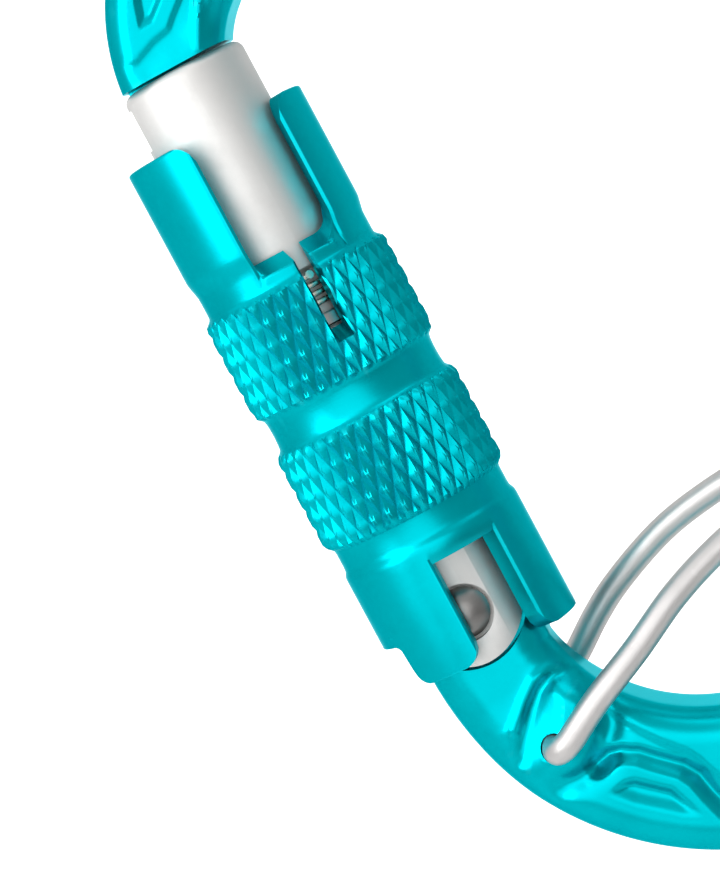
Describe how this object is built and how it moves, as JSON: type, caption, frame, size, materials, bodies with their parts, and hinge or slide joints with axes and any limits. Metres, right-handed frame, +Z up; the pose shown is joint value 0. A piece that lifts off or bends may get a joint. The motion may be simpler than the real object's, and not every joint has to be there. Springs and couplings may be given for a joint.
{
  "type": "locking carabiner",
  "caption": "Pear-shaped locking carabiner with a keylock gate, a lift-and-twist auto-locking sleeve and a wire keeper across its narrow bow.",
  "frame": {"origin": "crown seat: the highest point of the inner edge of the wide bow, where the part hangs, at mid thickness", "axes": "+Z up from the narrow bow to the wide bow, +X from the gate towards the spine, +Y through the thickness away from the viewer"},
  "size_m": [0.0729, 0.016, 0.1007],
  "materials": {
    "frame_anodised": "satin anodised",
    "sleeve_anodised": "satin anodised, knurled",
    "gate_satin": "satin silver",
    "rivet_steel": "turned",
    "inner_steel": "satin",
    "spring_steel": "drawn wire",
    "keeper_steel": "polished stainless wire"
  },
  "bodies": {
    "frame": {"frame_body": "frame_anodised"},
    "gate": {"gate_barrel": "gate_satin", "hinge_rivet": "rivet_steel", "gate_return_spring": "spring_steel", "sleeve_guide_pin": "inner_steel", "sleeve_spring": "spring_steel"},
    "plunger": {"gate_plunger": "inner_steel"},
    "slide_ring": {"sleeve_thrust_ring": "inner_steel"},
    "sleeve": {"locking_sleeve": "sleeve_anodised"},
    "keeper": {"keeper_wire": "keeper_steel"}
  },
  "joints": [
    {"name": "gate_hinge", "type": "hinge", "parent": "frame", "child": "gate", "pos_m": [-0.01496, 0, -0.0703], "axis": [0, 1, 0], "range_deg": [0, 25], "stiffness_Nm_per_rad": 0.25, "springref_deg": -28.65},
    {"name": "plunger_slide", "type": "slide", "parent": "gate", "child": "plunger", "axis": [-0.4756, 0, 0.8796], "range_m": [0, 0.0007], "deforming": ["gate_return_spring"]},
    {"name": "sleeve_slide", "type": "slide", "parent": "gate", "child": "slide_ring", "axis": [-0.4756, 0, 0.8796], "range_m": [0, 0.0016], "stiffness_N_per_m": 800, "springref_m": -0.004, "deforming": ["sleeve_spring"]},
    {"name": "sleeve_twist", "type": "hinge", "parent": "slide_ring", "child": "sleeve", "pos_m": [-0.01496, 0, -0.0703], "axis": [-0.4756, 0, 0.8796], "range_deg": [-90, 0]},
    {"name": "keeper_hinge", "type": "hinge", "parent": "frame", "child": "keeper", "pos_m": [-0.00766, 0, -0.0792], "axis": [0, -0.9578, -0.2873], "range_deg": [0, 25], "stiffness_Nm_per_rad": 0.06, "springref_deg": -34.38}
  ],
  "couplings": [
    {"joint": "sleeve_twist", "follows": "gate_hinge", "ratio": -3.6},
    {"joint": "plunger_slide", "follows": "gate_hinge", "m_per_rad": 0.0016}
  ]
}
